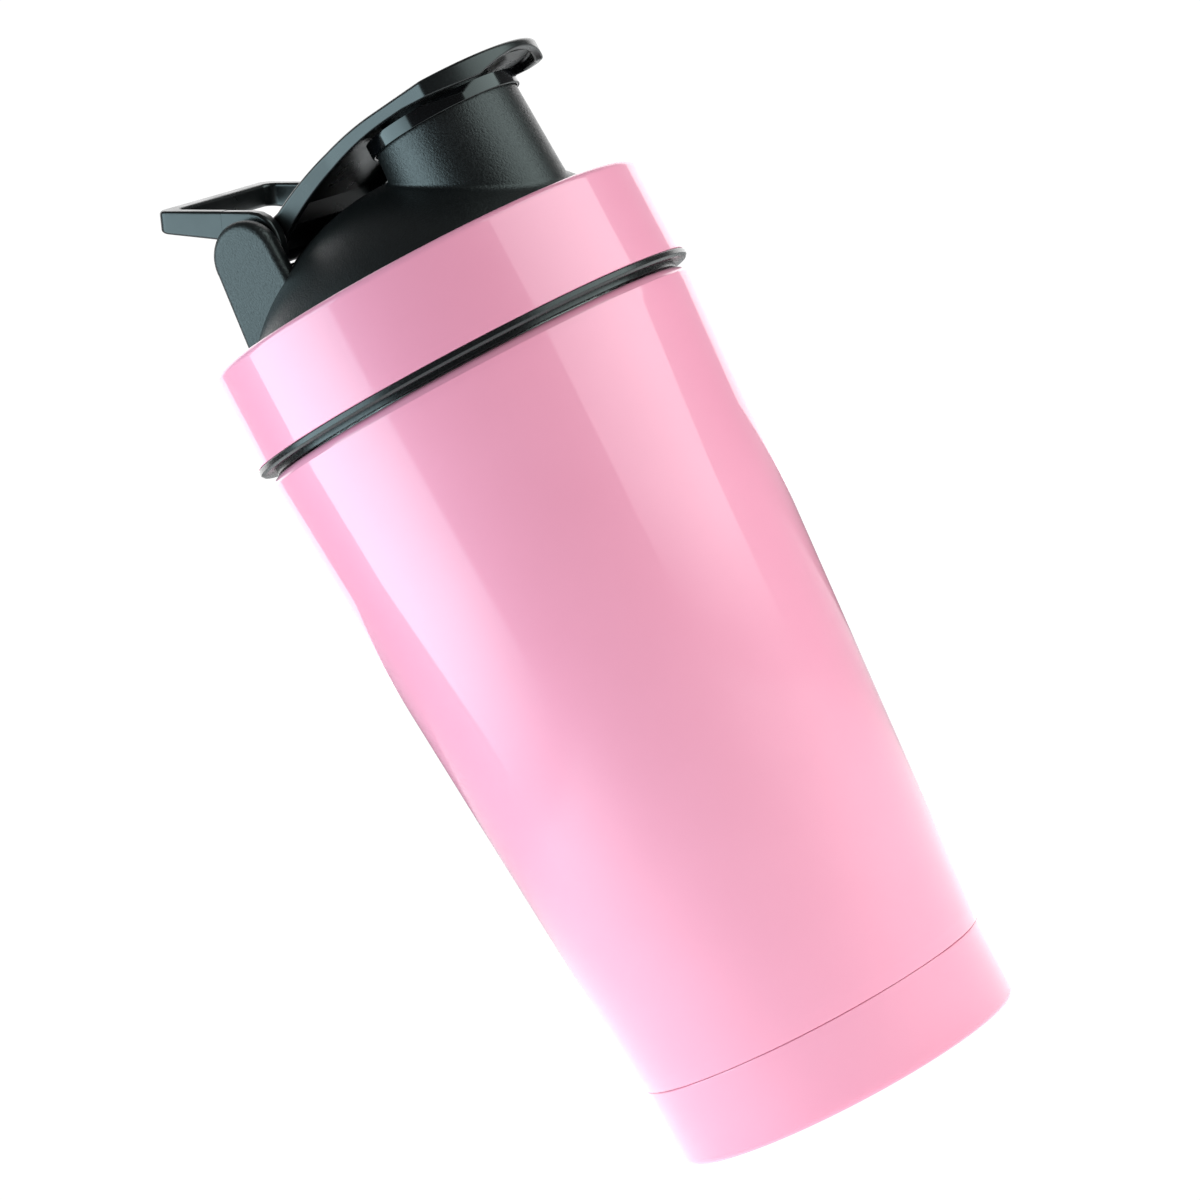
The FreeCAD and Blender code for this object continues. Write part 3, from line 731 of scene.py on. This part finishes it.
def soft_box(name, turn, distance, wide, low, high, power, colour, fades=(), edge=None):
    """Upright light panel, turned from the camera's side by so many degrees. A fade is (way,
    start, stop, least) along the panel: across from its left edge or up from its foot. The edge
    is a sharp side that leans: (side, foot, head, across at foot, across at head)."""
    a = AZIMUTH + math.radians(turn)
    light = bpy.data.lights.new(name, "AREA")
    light.shape, light.size, light.size_y = "RECTANGLE", wide, high - low
    light.energy, light.color, light.use_nodes = power, colour, True
    nodes, links = light.node_tree.nodes, light.node_tree.links
    parts = nodes.new("ShaderNodeSeparateXYZ")
    links.new(nodes.new("ShaderNodeNewGeometry").outputs["Parametric"], parts.inputs[0])

    def ramp(value, low, high, least, most=1.0, kind="SMOOTHSTEP"):
        made = nodes.new("ShaderNodeMapRange")
        made.interpolation_type = kind
        links.new(value, made.inputs["Value"])
        for socket, number in zip(("From Min", "From Max", "To Min", "To Max"),
                                  (low, high, least, most)):
            made.inputs[socket].default_value = number
        return made.outputs["Result"]

    def maths(kind, one, other):
        made = nodes.new("ShaderNodeMath")
        made.operation = kind
        links.new(one, made.inputs[0])
        links.new(other, made.inputs[1])
        return made.outputs[0]

    masks = [ramp(parts.outputs[way], *fade) for way, *fade in fades]
    if edge:
        side, foot, head, start, stop = edge
        line = ramp(parts.outputs["Y"], foot, head, start, stop, "LINEAR")
        masks.append(ramp(maths("SUBTRACT", parts.outputs["X"], line), 0.0, 0.02 * side, 0.0))
    for mask in masks[1:]:
        masks[0] = maths("MULTIPLY", masks[0], mask)
    if masks:
        links.new(masks[0], nodes["Emission"].inputs["Strength"])
    stand = bpy.data.objects.new(name, light)
    stand.location = (math.sin(a) * distance, -math.cos(a) * distance, (low + high) / 2)
    stand.rotation_euler = (math.pi / 2, 0, a)
    stand.visible_camera = False
    bpy.context.scene.collection.objects.link(stand)
    return stand


soft_box("left_box", -74.0, 0.55, 0.61, 0.005, 0.75, 6.9, (0.69, 0.97, 1.05),
         [("X", 1.0, 0.93, 0.0), ("X", 0.97, 0.6, 0.72), ("Y", 0.0, 0.1, 0.0)],
         (1.0, 0.04, 0.13, 0.18, 0.02))
soft_box("right_box", 66.5, 0.55, 0.63, 0.005, 0.75, 4.8, (0.81, 1.0, 0.98),
         [("X", 0.0, 0.7, 0.7), ("Y", 0.0, 0.1, 0.0)], (-1.0, 0.1, 0.24, 0.85, 1.0))
soft_box("back_card", 180.0, 1.5, 2.6, 0.1, 1.8, 27.0, (1.0, 1.0, 1.0))

AWAY, EYE_HIGH = 0.767, 0.1156
lens = bpy.data.cameras.new("camera")
lens.lens, lens.sensor_width = 110.1, 36.0
camera = bpy.data.objects.new("camera", lens)
bpy.context.scene.collection.objects.link(camera)
eye = Vector((math.sin(AZIMUTH) * AWAY, -math.cos(AZIMUTH) * AWAY, EYE_HIGH))
aim = Vector((0.00034, 0.0002, 0.1123))
ahead = (aim - eye).normalized()
right = ahead.cross(Vector((0, 0, 1))).normalized()
upright = right.cross(ahead)
roll = math.radians(27.8)
top = upright * math.cos(roll) + right * math.sin(roll)
side = ahead.cross(top)
camera.matrix_world = Matrix(((side.x, top.x, -ahead.x, eye.x), (side.y, top.y, -ahead.y, eye.y),
                              (side.z, top.z, -ahead.z, eye.z), (0, 0, 0, 1)))
bpy.context.scene.camera = camera
bpy.context.scene.view_settings.view_transform = "Standard"
